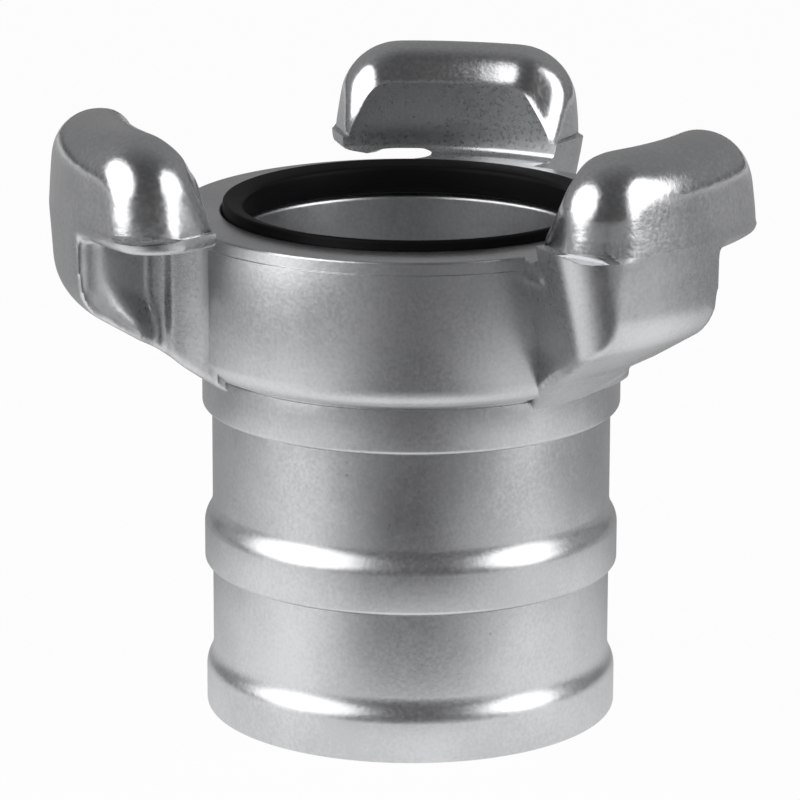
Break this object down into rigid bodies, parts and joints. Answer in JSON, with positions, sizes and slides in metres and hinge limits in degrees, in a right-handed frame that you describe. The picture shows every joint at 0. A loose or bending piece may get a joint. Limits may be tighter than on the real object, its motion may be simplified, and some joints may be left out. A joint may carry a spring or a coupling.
{
  "type": "quarter turn fire hose coupling",
  "caption": "Claw coupling half for a fire hose: a ribbed hose tail, a head ring with hooked claws for a quarter turn, and a rubber lip seal.",
  "frame": {"origin": "centre of the hose tail's end, on the axis of the waterway", "axes": "+Z along the waterway from the hose tail to the mouth; the clockwise end of the first claw is 56 degrees from +X"},
  "size_m": [0.1213, 0.1161, 0.1089],
  "materials": {
    "body": "tumbled casting, satin, with turned faces",
    "seal": "smooth black rubber"
  },
  "bodies": {
    "root": {"coupling_body": "body", "lip_seal": "seal"}
  },
  "joints": []
}
